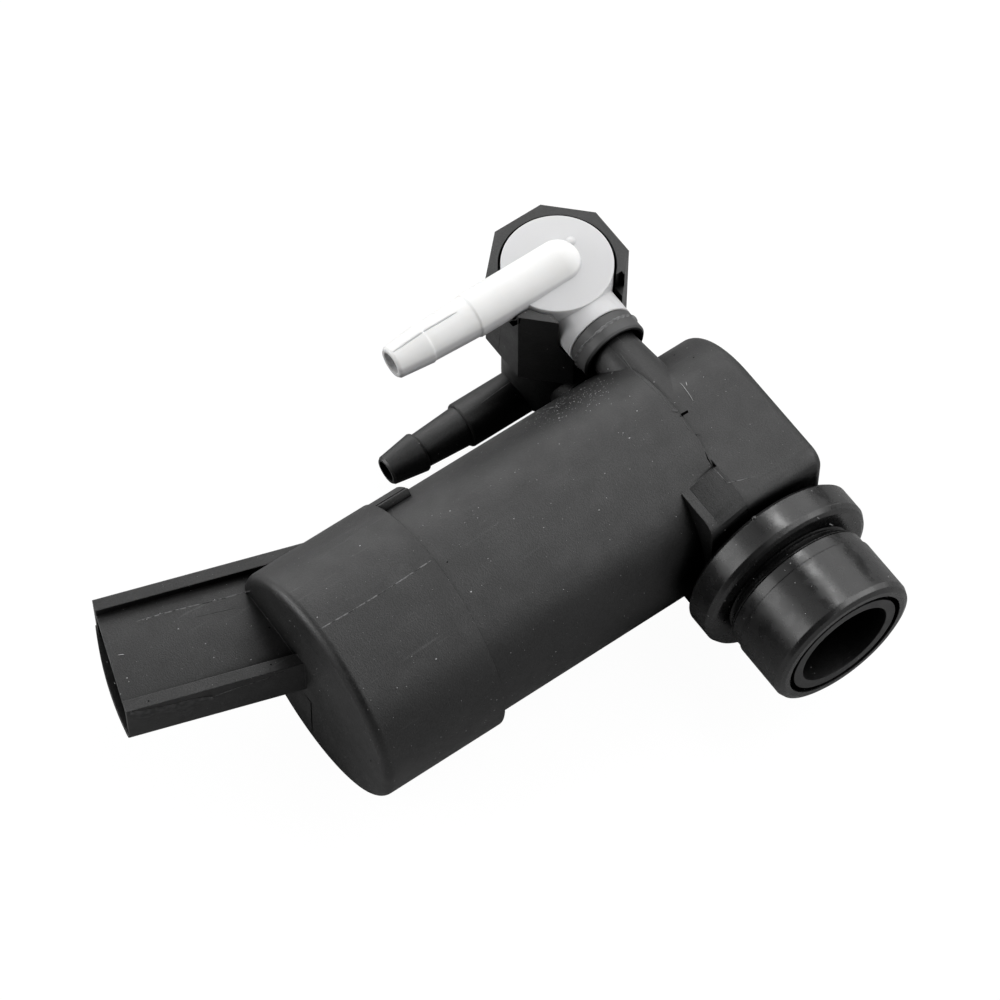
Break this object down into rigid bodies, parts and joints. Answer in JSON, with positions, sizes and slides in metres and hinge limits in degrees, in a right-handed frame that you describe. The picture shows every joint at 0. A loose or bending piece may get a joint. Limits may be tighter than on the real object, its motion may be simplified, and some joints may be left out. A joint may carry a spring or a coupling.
{
  "type": "windshield washer pump",
  "caption": "Electric washer pump: cylindrical motor housing with a rubber-ringed tank inlet, a changeover valve with a white and a black hose nozzle, and a slanted plug socket.",
  "frame": {"origin": "on the axis of the tank port, at the middle of the rubber grommet's sealing barrel", "axes": "+X out of the tank port, +Y along the motor from the end cap to the pump head, +Z from the lower outlet to the upper one"},
  "size_m": [0.0797, 0.1066, 0.0374],
  "materials": {
    "black_nylon": "moulded glass-filled nylon, black, satin with fine speckle",
    "cap_nylon": "moulded nylon, black, slightly greyer than the housing",
    "white_nylon": "natural off-white nylon, slightly see-through",
    "grommet_rubber": "moulded rubber, black, semi-gloss",
    "seal_rubber": "rubber, black",
    "acetal": "moulded acetal, white",
    "zinc_steel": "zinc-plated deep-drawn steel",
    "ferrite": "sintered ferrite",
    "bronze": "oil-filled sintered bronze",
    "brush_plate_plastic": "phenolic plate, brown",
    "carbon": "carbon and copper brush block",
    "spring_brass": "sheet spring brass",
    "tinned_brass": "tin-plated brass strip",
    "shaft_steel": "ground steel",
    "core_steel": "stacked steel laminations",
    "copper": "enamelled copper wire and copper segments"
  },
  "bodies": {
    "housing": {"motor_housing": "black_nylon", "end_cap": "cap_nylon", "cap_seal": "seal_rubber", "pump_cover": "black_nylon", "eye_plate": "acetal", "tank_grommet": "grommet_rubber", "valve_cup": "black_nylon", "valve_cap": "white_nylon", "valve_diaphragm": "seal_rubber", "upper_outlet_collar": "seal_rubber", "lower_outlet_collar": "seal_rubber", "motor_can": "zinc_steel", "upper_magnet": "ferrite", "lower_magnet": "ferrite", "front_bearing": "bronze", "rear_bearing": "bronze", "shaft_seal": "seal_rubber", "brush_plate": "brush_plate_plastic", "brush_a": "carbon", "brush_b": "carbon", "brush_arm_a": "spring_brass", "brush_arm_b": "spring_brass", "terminal_a": "tinned_brass", "terminal_b": "tinned_brass"},
    "rotor": {"shaft": "shaft_steel", "armature_core": "core_steel", "armature_windings": "copper", "commutator": "copper", "impeller": "acetal"}
  },
  "joints": [
    {"name": "rotor_spin", "type": "hinge", "parent": "housing", "child": "rotor", "pos_m": [-0.034, 0, 0], "axis": [0, 1, 0], "continuous": true}
  ]
}
